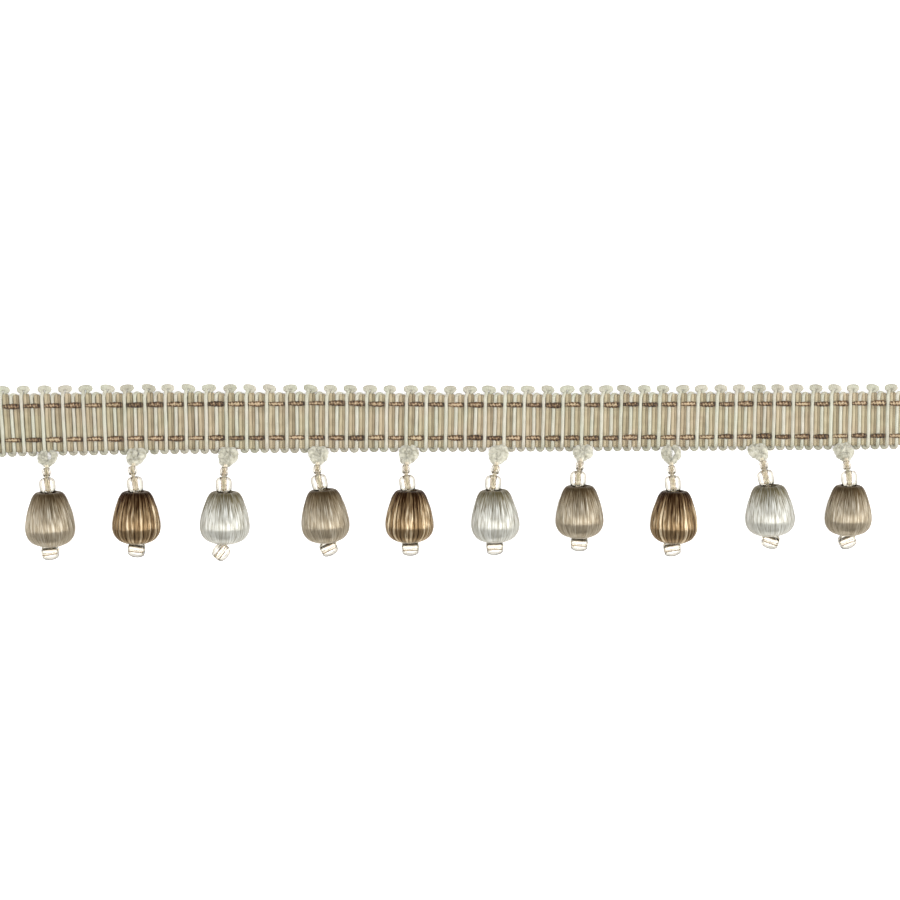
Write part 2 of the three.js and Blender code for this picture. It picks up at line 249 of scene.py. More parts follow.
@dataclass
class MeshParts:
    """Swept and turned parts gathered into one mesh with UVs and a tone for each point."""

    points: list[np.ndarray] = field(default_factory=list)
    faces: list[tuple[int, ...]] = field(default_factory=list)
    uvs: list[Pair] = field(default_factory=list)
    tones: list[np.ndarray] = field(default_factory=list)
    count: int = 0

    def grid(self, points: np.ndarray, v: np.ndarray, tone: np.ndarray, ends: bool = False) -> None:
        """Adds closed rings of points joined by quads, with the texture once round them.

        Args:
            points: Places as rings by points by three, in metres.
            v: Texture place of each ring.
            tone: Tone of each ring, or of each of its points.
            ends: Whether the first and the last ring get a face each.
        """
        rings, round_it = points.shape[:2]
        base = self.count
        self.points.append(points.reshape(-1, 3))
        self.tones.append((np.repeat(tone, round_it) if tone.ndim == 1 else tone).ravel())
        self.count += rings * round_it
        u = np.linspace(0, 1, round_it + 1)
        for i in range(rings - 1):
            for j in range(round_it):
                k = (j + 1) % round_it
                row, above = base + i * round_it, base + (i + 1) * round_it
                self.faces.append((row + j, row + k, above + k, above + j))
                self.uvs.extend(((u[j], v[i]), (u[j + 1], v[i]), (u[j + 1], v[i + 1]), (u[j], v[i + 1])))
        if ends:
            last = base + (rings - 1) * round_it
            for ring in (range(base + round_it - 1, base - 1, -1), range(last, last + round_it)):
                self.faces.append(tuple(ring))
                self.uvs.extend((0.0, 0.0) for _ in ring)

    def tube(
        self,
        path: np.ndarray,
        wide: np.ndarray | float,
        high: np.ndarray | float,
        sides: int = 10,
        tone: np.ndarray | float = 0.5,
        underside_shade: float = 0.0,
    ) -> None:
        """Adds a tube of an oval section that stays level as it follows a path.

        Args:
            path: Places along the middle of the tube, in metres.
            wide: Half width of the section, level.
            high: Half height of the section, upright.
            sides: How many sides the section has.
            tone: Tone along the tube.
            underside_shade: Painted shade, how much lighter its top is than its underside.
        """
        count = len(path)
        along = np.vstack([path[1:], 2 * path[-1] - path[-2]]) - np.vstack([2 * path[0] - path[1], path[:-1]])
        along /= np.linalg.norm(along, axis=1, keepdims=True)
        side = np.cross(along, np.array(UP))
        lengths = np.linalg.norm(side, axis=1, keepdims=True)
        side = np.where(lengths > NEARLY_UPRIGHT, side / np.maximum(lengths, TINY), np.array([1.0, 0.0, 0.0]))
        rise = np.cross(side, along)
        angle = round_angles(sides)
        wides, highs = (np.broadcast_to(half, (count,))[:, None, None] for half in (wide, high))
        ring = (
            side[:, None, :] * np.cos(angle)[None, :, None] * wides
            + rise[:, None, :] * np.sin(angle)[None, :, None] * highs
        )
        # Painted shade: the tone falls toward the underside of each section.
        tones = np.broadcast_to(tone, (count,))[:, None] + underside_shade * (np.sin(angle)[None, :] - 1) / 2
        self.grid(path[:, None, :] + ring, run_along(path) / MM, tones, ends=True)

    def build(self, name: str, matrix: Matrix | None = None) -> Piece:
        """Makes the object, smooth shaded.

        Args:
            name: Name of the piece.
            matrix: Where the piece is, if its points are in its own frame.

        Returns:
            The new object.
        """
        mesh = bpy.data.meshes.new(name)
        mesh.from_pydata(np.vstack(self.points).tolist(), [], self.faces)
        layer = mesh.uv_layers.new(name=UV_NAME)
        layer.data.foreach_set("uv", np.array(self.uvs, np.float32).ravel())
        tone = mesh.attributes.new(TONE_NAME, "FLOAT", "POINT")
        tone.data.foreach_set("value", np.concatenate(self.tones).astype(np.float32))
        mesh.polygons.foreach_set("use_smooth", [True] * len(mesh.polygons))
        mesh.validate()
        mesh.update()
        piece = bpy.data.objects.new(name, mesh)
        bpy.context.scene.collection.objects.link(piece)
        if matrix is not None:
            piece.matrix_world = matrix
        return piece


def smooth_path(points: list[Point] | np.ndarray, count: int, closed: bool = False) -> np.ndarray:
    """Runs a smooth line through points.

    Args:
        points: The points, in any unit.
        count: How many points the line gets.
        closed: Whether it returns to its first point.

    Returns:
        The line, evenly spaced by parameter.
    """
    knots = np.array(points, float)
    spans = len(knots) if closed else len(knots) - 1
    if closed:
        knots = np.vstack([knots[-1], knots, knots[:2]])
    else:
        knots = np.vstack([2 * knots[0] - knots[1], knots, 2 * knots[-1] - knots[-2]])
    places = np.linspace(0, spans, count, endpoint=not closed)
    whole = np.minimum(places.astype(int), spans - 1)
    t = (places - whole)[:, None]
    a, b, c, d = (knots[whole + i] for i in range(4))
    return 0.5 * (2 * b + (c - a) * t + (2 * a - 5 * b + 4 * c - d) * t**2 + (3 * b - a - 3 * c + d) * t**3)


def twisted(path: np.ndarray, radius: np.ndarray | float, pitch: float, phase: float) -> np.ndarray:
    """One ply of a yarn, winding round the yarn's own middle.

    Args:
        path: The yarn's middle, in metres.
        radius: How far the ply is from it.
        pitch: Length of one turn.
        phase: Where the winding starts, in radians.

    Returns:
        The ply's middle.
    """
    along = np.gradient(path, axis=0)
    along /= np.linalg.norm(along, axis=1, keepdims=True)
    side = np.cross(along, np.array(UP))
    side /= np.maximum(np.linalg.norm(side, axis=1, keepdims=True), TINY)
    rise = np.cross(side, along)
    angle = (2 * math.pi * run_along(path) / pitch + phase)[:, None]
    away = np.broadcast_to(radius, (len(path),))[:, None]
    return path + away * (side * np.cos(angle) + rise * np.sin(angle))


class Nodes:
    """Builds a procedural material from named steps."""

    def __init__(self, name: str) -> None:
        """Starts a material with one main shader.

        Args:
            name: The material's name.
        """
        self.material = bpy.data.materials.new(name)
        self.material.use_nodes = True
        self.tree = self.material.node_tree
        self.shader = next(n for n in self.tree.nodes if n.type == "BSDF_PRINCIPLED")

    def add(self, kind: str, **settings: object) -> bpy.types.Node:
        """Adds a node and sets its options.

        Args:
            kind: The kind of node.
            settings: Its options by name.

        Returns:
            The node.
        """
        node = self.tree.nodes.new(kind)
        for key, value in settings.items():
            setattr(node, key, value)
        return node

    def link(self, source: Socket, target: Socket) -> None:
        """Joins two sockets."""
        self.tree.links.new(source, target)

    def set(self, **values: object) -> None:
        """Sets the main shader's own sockets, with spaces written as underscores."""
        for key, value in values.items():
            self.shader.inputs[key.replace("_", " ")].default_value = value

    def number(self, socket: Socket, value: Socket | float) -> None:
        """Joins a socket to another, or sets it to a number.

        Args:
            socket: The socket.
            value: What it takes.
        """
        if isinstance(value, (int, float)):
            socket.default_value = value
        else:
            self.link(value, socket)

    def places(self) -> bpy.types.Node:
        """Splits the texture places into X, round the part, and Y, along it.

        Returns:
            The node that splits them.
        """
        parts = self.add("ShaderNodeSeparateXYZ")
        self.link(self.add("ShaderNodeUVMap", uv_map=UV_NAME).outputs[0], parts.inputs[0])
        return parts

    def uv(self, scale: Pair, shear: float = 0.0) -> Socket:
        """Texture places round and along a cord, scaled and slanted.

        Args:
            scale: Scale round and along.
            shear: How many turns round are added for each unit along.

        Returns:
            The scaled places.
        """
        parts = self.places()
        turn = self.add("ShaderNodeMath", operation="MULTIPLY_ADD")
        self.link(parts.outputs["Y"], turn.inputs[0])
        turn.inputs[1].default_value = shear
        self.link(parts.outputs["X"], turn.inputs[2])
        joined = self.add("ShaderNodeCombineXYZ")
        self.link(turn.outputs[0], joined.inputs["X"])
        self.link(parts.outputs["Y"], joined.inputs["Y"])
        mapping = self.add("ShaderNodeVectorMath", operation="MULTIPLY")
        self.link(joined.outputs[0], mapping.inputs[0])
        mapping.inputs[1].default_value = (*scale, 1.0)
        return mapping.outputs[0]

    def noise(self, places: Socket, scale: float, detail: float = 2.0) -> Socket:
        """Soft random pattern.

        Args:
            places: The places that it is laid over.
            scale: How many patches a unit has.
            detail: How many finer layers it has.

        Returns:
            The pattern, from 0 to 1.
        """
        node = self.add("ShaderNodeTexNoise")
        self.link(places, node.inputs["Vector"])
        node.inputs["Scale"].default_value = scale
        node.inputs["Detail"].default_value = detail
        return node.outputs["Fac"]

    def solid(self, scale: float, detail: float = 3.0) -> Socket:
        """Soft random pattern through the object."""
        return self.noise(self.add("ShaderNodeTexCoord").outputs["Object"], scale, detail)

    def wave(self, places: Socket, distortion: float = 0.0) -> Socket:
        """Even ridges, one for each unit round.

        Args:
            places: The places that they are laid over.
            distortion: How far they stray.

        Returns:
            The ridges, from 0 to 1.
        """
        node = self.add("ShaderNodeTexWave", wave_type="BANDS", bands_direction="X", wave_profile="SIN")
        self.link(places, node.inputs["Vector"])
        node.inputs["Scale"].default_value = WAVE_UNIT
        node.inputs["Distortion"].default_value = distortion
        return node.outputs["Fac"]

    def ramp(self, value: Socket, *stops: tuple[float, Colour]) -> Socket:
        """Turns a value into a colour.

        Args:
            value: The value.
            stops: Places on the ramp with their colours.

        Returns:
            The colour.
        """
        node = self.add("ShaderNodeValToRGB")
        self.link(value, node.inputs[0])
        elements = node.color_ramp.elements
        while len(elements) < len(stops):
            elements.new(1.0)
        for element, (place, colour) in zip(elements, stops):
            element.position = place
            element.color = (*colour, 1.0)
        return node.outputs[0]

    def levels(self, value: Socket, low: float, high: float, least: float, most: float) -> Socket:
        """Stretches a value.

        Args:
            value: The value.
            low: What becomes the least.
            high: What becomes the most.
            least: Lowest result.
            most: Highest result.

        Returns:
            The stretched value.
        """
        node = self.add("ShaderNodeMapRange")
        self.link(value, node.inputs["Value"])
        for name, level in (("From Min", low), ("From Max", high), ("To Min", least), ("To Max", most)):
            node.inputs[name].default_value = level
        return node.outputs["Result"]

    def shaded(self, *layers: tuple[Socket, float, float, float, float]) -> Socket:
        """The tone of the mesh with patterns added to it, each stretched as levels does.

        Args:
            layers: Patterns, each with the numbers that levels takes.

        Returns:
            The sum.
        """
        shade = self.tone()
        for layer in layers:
            shade = self.math("ADD", self.levels(*layer), shade)
        return shade

    def mix(self, factor: Socket | float, first: Socket, second: Socket, blend: str = "MIX") -> Socket:
        """Mixes two colours.

        Args:
            factor: Share of the second one.
            first: The first colour.
            second: The second colour.
            blend: How they are mixed.

        Returns:
            The mixed colour.
        """
        node = self.add("ShaderNodeMix", data_type="RGBA", blend_type=blend)
        self.number(node.inputs[0], factor)
        self.link(first, node.inputs[6])
        self.link(second, node.inputs[7])
        return node.outputs[2]

    def math(self, operation: str, first: Socket, second: Socket | float) -> Socket:
        """Combines two values.

        Args:
            operation: The sum's name.
            first: The first value.
            second: The second value.

        Returns:
            The result.
        """
        node = self.add("ShaderNodeMath", operation=operation)
        self.link(first, node.inputs[0])
        self.number(node.inputs[1], second)
        return node.outputs[0]

    def tone(self) -> Socket:
        """The tone kept on each point of the mesh."""
        return self.add("ShaderNodeAttribute", attribute_name=TONE_NAME).outputs["Fac"]

    def bump(self, height: Socket, distance: float, strength: float = 1.0) -> None:
        """Raises the surface by a pattern.

        Args:
            height: The pattern.
            distance: How far it raises the surface, in metres.
            strength: Share of it that is used.
        """
        node = self.add("ShaderNodeBump")
        node.inputs["Distance"].default_value = distance
        node.inputs["Strength"].default_value = strength
        self.link(height, node.inputs["Height"])
        self.link(node.outputs[0], self.shader.inputs["Normal"])

    def colour(self, socket: Socket) -> None:
        """Sets the main colour."""
        self.link(socket, self.shader.inputs["Base Color"])

    def rough(self, socket: Socket) -> None:
        """Sets the roughness."""
        self.link(socket, self.shader.inputs["Roughness"])


@dataclass(frozen=True)
class CordFinish:
    """A smooth twisted cord whose tone runs between three colours."""

    name: str
    dark: Colour
    middle: Colour
    light: Colour
    rough: float = 0.6
    sheen: float = 0.12
    twist: float = 0.55
    plies: float = 3.0
    winding: float = 2.3
    speckle: float = 0.06
    relief: float = 0.05 * MM
    fibre_grid: Pair = (14.0, 1.1)
    patches: float = 420.0
    dye_patches: float = 130.0
    green: Colour = (0.975, 1.0, 0.965)
    pink: Colour = (1.0, 0.97, 0.962)

    def make(self) -> bpy.types.Material:
        """Makes the cord's material.

        Returns:
            The material.
        """
        nodes = Nodes(self.name)
        plies = nodes.wave(nodes.uv((self.plies, 1.0), self.twist))
        wound = nodes.wave(nodes.uv((1.0, 1.0), self.winding), 1.5)
        fibres = nodes.noise(nodes.uv(self.fibre_grid, self.twist), 1.6, 3.0)
        shade = nodes.shaded(
            (fibres, 0.25, 0.75, -0.14, 0.14),
            (nodes.solid(self.patches, 2.0), 0.3, 0.7, -0.08, 0.08),
            (plies, 0.0, 1.0, -0.1, 0.05),
            (wound, 0.0, 1.0, -self.speckle, self.speckle),
        )
        yarn = nodes.ramp(shade, (0.0, self.dark), (0.5, self.middle), (1.0, self.light))
        dye = nodes.ramp(nodes.solid(self.dye_patches, 2.0), (0.38, self.green), (0.62, self.pink))
        nodes.colour(nodes.mix(1.0, yarn, dye, "MULTIPLY"))
        nodes.rough(nodes.levels(fibres, 0.3, 0.7, self.rough - 0.08, self.rough + 0.1))
        nodes.set(Sheen_Weight=self.sheen, Sheen_Roughness=0.45, Specular_IOR_Level=0.35)
        height = nodes.math("ADD", nodes.math("MULTIPLY", fibres, 0.5), plies)
        nodes.bump(nodes.math("ADD", nodes.math("MULTIPLY", wound, 0.6), height), self.relief)
        return nodes.material


@dataclass(frozen=True)
class SilkFinish:
    """Glossy threads that run from the top of a bead to its foot."""

    name: str
    dark: Colour
    middle: Colour
    light: Colour
    threads: float = 190.0
    metal: float = 0.45
    streaks: float = 0.2
    index: float = 1.5
    gloss: float = 0.12
    rough: float = 0.3
    shine: float = 0.95
    sheen: float = 0.26
    bloom: Colour = (0.85, 0.8, 0.68)
    edge: Colour = (0.5, 0.4, 0.26)
    broad_grid: Pair = (40.0, 1.2)
    relief: float = 0.07 * MM

    def make(self) -> bpy.types.Material:
        """Makes the silk's material.

        Returns:
            The material.
        """
        nodes = Nodes(self.name)
        fine = nodes.noise(nodes.uv((self.threads, 3.6)), 1.0)
        broad = nodes.noise(nodes.uv(self.broad_grid), 1.0)
        streak = nodes.levels(fine, 0.33, 0.67, -self.streaks, self.streaks)
        streak = nodes.math("MULTIPLY", streak, nodes.levels(nodes.places().outputs["Y"], 0.2, 0.8, 0.7, 1.7))
        shade = nodes.math("ADD", streak, nodes.tone())
        shade = nodes.math("ADD", nodes.levels(broad, 0.3, 0.7, -0.07, 0.07), shade)
        nodes.colour(nodes.ramp(shade, (0.0, self.dark), (0.5, self.middle), (1.0, self.light)))
        nodes.rough(nodes.levels(fine, 0.3, 0.7, self.rough - 0.06, self.rough + 0.08))
        nodes.set(Metallic=self.metal, IOR=self.index, Specular_IOR_Level=self.gloss)
        nodes.set(Specular_Tint=(*self.edge, 1.0), Anisotropic=self.shine)
        nodes.set(Sheen_Weight=self.sheen, Sheen_Roughness=0.35, Sheen_Tint=(*self.bloom, 1.0))
        tangent = nodes.add("ShaderNodeTangent", direction_type="UV_MAP", uv_map=UV_NAME)
        nodes.link(tangent.outputs[0], nodes.shader.inputs["Tangent"])
        nodes.bump(nodes.math("ADD", nodes.math("MULTIPLY", broad, 0.6), fine), self.relief)
        return nodes.material


@dataclass(frozen=True)
class GlassFinish:
    """Clear glass with a faint champagne tint that deepens toward its rims, partly as painted shade."""

    name: str
    clear: Colour = (0.97, 0.95, 0.9)
    tint: Colour = (0.45, 0.425, 0.36)
    deep: Colour = (0.24, 0.19, 0.125)
    rim: Colour = (0.03, 0.017, 0.007)
    bore: Colour = (1.0, 0.985, 0.94)
    wall: Colour = (0.4, 0.32, 0.21)
    shade: Colour = (0.14, 0.1, 0.055)

    def make(self) -> bpy.types.Material:
        """Makes the glass's material, with the ground wall of the hole where the tone is one.

        Returns:
            The material.
        """
        nodes = Nodes(self.name)
        flaws = nodes.solid(900.0, 2.0)
        facing = nodes.add("ShaderNodeLayerWeight").outputs["Facing"]
        edge = nodes.math("ADD", nodes.levels(flaws, 0.3, 0.7, -0.04, 0.04), facing)
        # Partly painted shade: the tint deepens to near black at grazing angles, for the dark outlines of
        # refraction.
        outside = nodes.ramp(
            edge, (0.0, self.clear), (0.1, self.clear), (0.22, self.tint), (0.42, self.tint),
            (0.58, self.deep), (0.76, self.rim),
        )
        # Painted shade: the hole's pale wall darkens toward grazing angles.
        inside = nodes.ramp(edge, (0.0, self.bore), (0.11, self.bore), (0.18, self.wall), (0.26, self.shade))
        nodes.colour(nodes.mix(nodes.tone(), outside, inside))
        nodes.rough(nodes.levels(flaws, 0.3, 0.7, 0.02, 0.06))
        nodes.set(Transmission_Weight=1.0, IOR=1.5)
        nodes.bump(flaws, 0.01 * MM, 0.4)
        return nodes.material


@dataclass(frozen=True)
class FuzzFinish:
    """Soft brushed yarn."""

    name: str
    dark: Colour
    light: Colour
    patches: float = 1100.0
    curls: float = 2600.0
    relief: float = 0.2 * MM

    def make(self) -> bpy.types.Material:
        """Makes the yarn's material.

        Returns:
            The material.
        """
        nodes = Nodes(self.name)
        shade = nodes.shaded((nodes.solid(self.patches, 4.0), 0.3, 0.7, -0.34, 0.34))
        nodes.colour(nodes.ramp(shade, (0.0, self.dark), (0.8, self.light)))
        nodes.set(Roughness=0.9, Sheen_Weight=0.7, Sheen_Roughness=0.5, Specular_IOR_Level=0.2)
        nodes.bump(nodes.solid(self.curls, 5.0), self.relief)
        return nodes.material


@dataclass(frozen=True)
class FloorFinish:
    """Plain white paper, lit from behind a little."""

    name: str
    glow: float = 0.55
    white: float = 0.8
    grain: float = 40.0

    def make(self) -> bpy.types.Material:
        """Makes the floor's material.

        Returns:
            The material.
        """
        nodes = Nodes(self.name)
        paper, pale = ((share * self.white,) * 3 for share in (1.0, 1.02))
        nodes.colour(nodes.ramp(nodes.solid(self.grain), (0.0, paper), (1.0, pale)))
        nodes.set(Roughness=1.0, Specular_IOR_Level=0.0)
        nodes.set(Emission_Color=(1.0, 1.0, 1.0, 1.0), Emission_Strength=self.glow)
        return nodes.material


class Finishes:
    """Every finish of the trim, each made once."""

    def __init__(self) -> None:
        """Makes the materials."""
        self.ivory = CordFinish(
            "ivory_cord", (0.219, 0.203, 0.147), (0.45, 0.436, 0.359), (0.636, 0.626, 0.547)
        ).make()
        self.beige = CordFinish(
            "beige_cord", (0.114, 0.086, 0.047), (0.353, 0.295, 0.191), (0.578, 0.502, 0.362)
        ).make()
        self.ground = CordFinish(
            "ground_weave", (0.13, 0.105, 0.066), (0.31, 0.25, 0.165), (0.47, 0.4, 0.29)
        ).make()
        self.yarn = CordFinish(
            "brown_yarn", (0.024, 0.011, 0.004), (0.19, 0.112, 0.052), (0.51, 0.395, 0.255),
            rough=0.42, sheen=0.1, plies=2.0, twist=0.9, winding=1.5, speckle=0.3,
        ).make()
        self.fuzz = FuzzFinish("fuzzy_yarn", (0.205, 0.191, 0.13), (0.56, 0.543, 0.448)).make()
        self.thread = CordFinish(
            "ivory_thread", (0.4, 0.34, 0.23), (0.76, 0.7, 0.56), (0.9, 0.87, 0.77), relief=0.03 * MM
        ).make()
        self.glass = GlassFinish("clear_glass_bead").make()
        silks = (
            SilkFinish("taupe_silk_thread", (0.05, 0.032, 0.014), (0.235, 0.197, 0.138), (0.71, 0.675, 0.59)),
            SilkFinish(
                "brown_silk_cord", (0.018, 0.006, 0.001), (0.19, 0.128, 0.066), (0.79, 0.68, 0.49),
                threads=120.0, metal=0.6,
            ),
            SilkFinish(
                "silver_silk_thread", (0.09, 0.075, 0.04), (0.375, 0.37, 0.328), (0.83, 0.84, 0.82),
                metal=0.35, streaks=0.25,
            ),
        )
        self.silk = {silk: finish.make() for silk, finish in zip(Silk, silks)}
        self.floor = FloorFinish("white_paper").make()


def dress(piece: Piece, material: bpy.types.Material, nodes: tuple[str, ...] = ()) -> None:
    """Gives a piece its finish and ties it to the solids.

    Args:
        piece: The piece.
        material: Its finish.
        nodes: The solids that it stands for.
    """
    piece.data.materials.append(material)
    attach(piece, "root")
    if nodes:
        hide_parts(*nodes)


@dataclass
class Braid:
    """The heading: its ground, upright cords, turns and rows of brown yarn, in millimetres.

    Each yarn ply has its place aside, its place up and its tone; the outer plies' lower tones are
    painted shade along the float's edges. Swell and fade run from one end of a float to the other,
    the fade being painted shade, darkest where the yarn dives under a rib.
    """

    plan: BraidPlan
    finishes: Finishes
    seed: int = 11
    cord_rows: int = 11
    ground_high: float = 1.15
    ground_rows: int = 189
    ground_inset: float = 0.25
    ground_section: Outline = ((0.0, 0.0), (0.0, 0.85), (0.06, 1.0), (0.94, 1.0), (1.0, 0.85), (1.0, 0.0))
    ivory: Pair = (0.106, 0.618)
    beige: Pair = (0.368, 0.872)
    ivory_half: Pair = (0.53, 0.51)
    ivory_high: float = 0.5
    ivory_over: Pair = (0.22, -0.16)
    beige_half: Pair = (0.94, 0.92)
    beige_high: float = 0.45
    beige_tops: Pair = (3.1, 2.9)
    # Painted shade: the last column darkens the right strand, shaded by the higher ivory rib beside it.
    beige_strands: Rows = ((-0.42, 0.6, 0.0, 0.04), (0.54, 0.5, 0.12, -0.16))
    beige_rows: int = 27
    crest: float = 2.2
    beige_crest: float = 2.0
    yarn_reach: float = 0.9
    tie_clear: float = 1.9
    loop_outline: Outline = (
        (-0.54, -0.88), (-1.02, -0.46), (-1.26, -0.06), (-0.7, 0.18), (0.0, 0.25),
        (0.7, 0.18), (1.26, -0.06), (1.02, -0.46), (0.54, -0.88),
    )
    loop_rise: float = 4.78
    loop_high: float = 1.15
    loop_widths: Row = (0.56, 0.64, 0.72, 0.76, 0.78, 0.76, 0.72, 0.64, 0.56, 0.54, 0.5)
    turn_cord: float = 0.6
    # Painted shade: how much darker the cords' undersides are than their tops.
    underside_shade: float = 0.3
    # Painted shade: the last column darkens the outer plies, shading the float's upper and lower edges.
    yarn_plies: Rows = ((-0.42, 0.0, 0.42), (0.0, 0.14, 1.0), (0.42, 0.0, 0.47))
    yarn_swell: Rows = ((0, 0.16, 0.42, 0.74, 0.9, 1), (0.5, 0.7, 0.94, 1.0, 0.74, 0.45))
    # Painted shade: darker toward the float's ends, darkest where it dives under a rib.
    yarn_end_shade: Rows = ((0, 0.12, 0.45, 0.74, 0.87, 1), (0.5, 0.8, 1.08, 0.88, 0.25, 0))
    ply_circle: float = 0.17
    ply_thick: float = 0.26
    yarn_low: float = 1.12
    yarn_lift: float = 1.0
    # Painted shade: how much darker the yarn plies' undersides are than their tops.
    yarn_underside_shade: float = 0.35
    float_rows: int = 32
    stray: float = 0.035

    def __post_init__(self) -> None:
        """Seeds the braid's unevenness."""
        self.random = np.random.default_rng(self.seed)

    def place(self, x: float, y: float, z: float) -> Point:
        """A point of the braid, leaned with the ribs."""
        return (self.plan.leaned(x, y), y, z)

    def near_tie(self, x: float) -> bool:
        """Whether a scallop would lie under a drop's yarn loop."""
        return any(abs(x - drop.root) < self.tie_clear for drop in DROPS)

    def upright(
        self, x: float, low: float, high: float, over: float, half: float, crest: float
    ) -> list[Point]:
        """The straight run of a rib, rising or dipping at the yarn rows.

        Args:
            x: Place along the trim.
            low: Where the run starts.
            high: Where it ends.
            over: How much it rises over the yarn, or dips under it.
            half: Half height of the cord.
            crest: Height of its face.

        Returns:
            Points from low to high.
        """
        rows = self.plan.yarn_rows(x)
        phase, turns = self.random.uniform(0, 2 * math.pi), self.random.uniform(0.6, 1.6)
        points = []
        for y in np.linspace(low, high, self.cord_rows):
            bump = sum(math.exp(-(((y - row) / self.yarn_reach) ** 2)) for row in rows)
            share = (y - low) / (high - low)
            stray = self.stray * math.sin(phase + 2 * math.pi * turns * share)
            points.append(self.place(x + stray, float(y), crest - half + over * bump))
        return points

    def scallop(self, left: float, right: float, end: float) -> list[Point]:
        """The turn under two ribs.

        Args:
            left: Place of the left rib's foot.
            right: Place of the right one's.
            end: Where the ribs end.

        Returns:
            Points from left to right.
        """
        middle, half = (left + right) / 2, (right - left) / 2
        deep = self.random.uniform(0.92, 1.15)
        points = [self.place(left + 0.15, end + 0.7, 0.7)]
        for angle in np.linspace(math.pi, 1.93 * math.pi, 7):
            sag = max(0.0, -math.sin(angle)) ** 0.7
            across, lift = middle + 0.95 * half * math.cos(angle), 0.85 + 0.2 * (angle / math.pi - 1)
            points.append(self.place(across, end + 0.08 - 0.68 * sag * deep, lift))
        return points

    def tall_loop(self, centre: float, right: float, upper: float) -> list[Point]:
        """The flattened loop that stands over the first two ribs.

        Args:
            centre: Its middle.
            right: Place of the rib that it comes down to.
            upper: The line that it is measured from.

        Returns:
            Points from left to right.
        """
        grow, broad = self.random.uniform(0.92, 1.08), self.random.uniform(0.95, 1.25)
        side, rise = self.random.uniform(-0.35, 0.12), upper + self.loop_rise
        tip = self.random.uniform(-0.12, 0.26)
        points = [
            self.place(centre + side + broad * dx, rise + grow * dy - tip * dx, self.loop_high)
            for dx, dy in self.loop_outline
        ]
        points.append(self.place(right - 0.25, rise - 1.45, 1.0))
        return [*points, self.place(right - 0.2, rise - 1.95, 0.7)]

    def low_turn(self, left: float, right: float, upper: float) -> list[Point]:
        """The rounded turn over the other two ribs.

        Args:
            left: Place of the left rib.
            right: Place of the right one.
            upper: The line that it is measured from.

        Returns:
            Points from left to right.
        """
        middle, half = (left + right) / 2, (right - left) / 2
        base = upper + self.random.uniform(2.45, 2.7)
        points = []
        for angle in np.linspace(0.3, math.pi, 6):
            across = middle - 0.85 * half * math.cos(angle)
            points.append(self.place(across, base + 0.55 * math.sin(angle), 1.6 - 0.26 * angle))
        return [*points, self.place(right - 0.1, base - 0.5, 0.7), self.place(right - 0.1, base - 1.0, 0.65)]

    def add(
        self,
        parts: MeshParts,
        points: list[Point],
        wide: Sequence[float],
        high: float,
        tone: Sequence[float],
        count: int,
    ) -> None:
        """Adds a cord.

        Args:
            parts: The mesh to add to.
            points: Points along it, in millimetres.
            wide: Half widths, spread evenly along it.
            high: Half height.
            tone: Tones, spread evenly along it.
            count: How many rings it gets.
        """
        places = np.linspace(0, 1, count)
        wides, tones = (np.interp(places, np.linspace(0, 1, len(run)), run) for run in (wide, tone))
        parts.tube(smooth_path(points, count) * MM, wides * MM, high * MM, 10, tones, self.underside_shade)

    def ivory_cords(self) -> Piece:
        """Ivory ribs, each with the scallop before it and the loop or turn after it.

        Returns:
            The cords.
        """
        parts = MeshParts()
        for repeat in self.plan.numbers():
            for which, across in enumerate(self.ivory):
                x = self.plan.column(repeat, across)
                before = self.plan.column(repeat - 1 + which, self.beige[1 - which])
                after = self.plan.column(repeat, self.beige[which])
                end, upper = self.plan.rib_end(x), self.plan.top(x)
                wide = self.ivory_half[which] * self.random.uniform(0.94, 1.06)
                tone = self.random.uniform(0.48, 0.62)
                foot = [] if self.near_tie((before + x) / 2) else self.scallop(before, x, end)
                over = self.ivory_over[which]
                run = self.upright(x, end + 0.45, upper + 2.3, over, self.ivory_high, self.crest)
                top = self.low_turn(x, after, upper)
                widths, shades = [self.turn_cord] * len(top), [tone - 0.1] * len(top)
                if which == 0:
                    top = self.tall_loop(self.plan.centre(repeat), after, upper)
                    widths, shades = list(self.loop_widths), [tone - 0.14] * len(top)
                # Painted shade: the turn's last two points, where it dips down into the weave, are darker.
                shades[-2:] = [tone - 0.3] * 2
                widths = [self.turn_cord] * len(foot) + [wide] * len(run) + widths
                # Painted shade: the scallop is darker, darkest at the crease where it turns up into the rib,
                # and the rib's first point is a little darker.
                foot_shade = [tone - 0.3] * (len(foot) - 1) + [tone - 0.4] if foot else []
                shades = foot_shade + [tone - 0.12] + [tone] * (len(run) - 1) + shades
                knots = foot + run + top
                self.add(parts, knots, widths, self.ivory_high, shades, round(2.1 * len(knots)))
        return parts.build("heading_ivory_cords")

    def beige_cords(self) -> Piece:
        """Beige ribs of two strands, the right one lower and darker, the darker tone being painted shade.

        Returns:
            The cords.
        """
        parts = MeshParts()
        for repeat in self.plan.numbers():
            for which, across in enumerate(self.beige):
                x = self.plan.column(repeat, across)
                end, upper = self.plan.rib_end(x), self.plan.top(x)
                half = self.beige_half[which]
                tone = self.random.uniform(0.46, 0.62)
                top = upper + self.beige_tops[which]
                for offset, width, lower, shade in self.beige_strands:
                    crest = self.beige_crest - lower
                    side = x + offset * half
                    run = self.upright(side, end + 0.7, top - 0.35, -0.16, self.beige_high, crest)
                    foot = self.place(x + (offset + 0.06) * half, end + 0.25, crest - 0.65)
                    tip = self.place(x + (offset - 0.05) * half, top, crest - 0.65)
                    widths = half * width * np.array([0.86, 1.0, *([1.0] * 9), 1.0, 0.86])
                    # Painted shade: each strand is darker at its foot, where it turns under at the bottom.
                    shades = np.array([-0.16, -0.06, *([0.0] * 11)]) + tone + shade
                    self.add(parts, [foot, *run, tip], widths, self.beige_high, shades, self.beige_rows)
        return parts.build("heading_beige_cords")

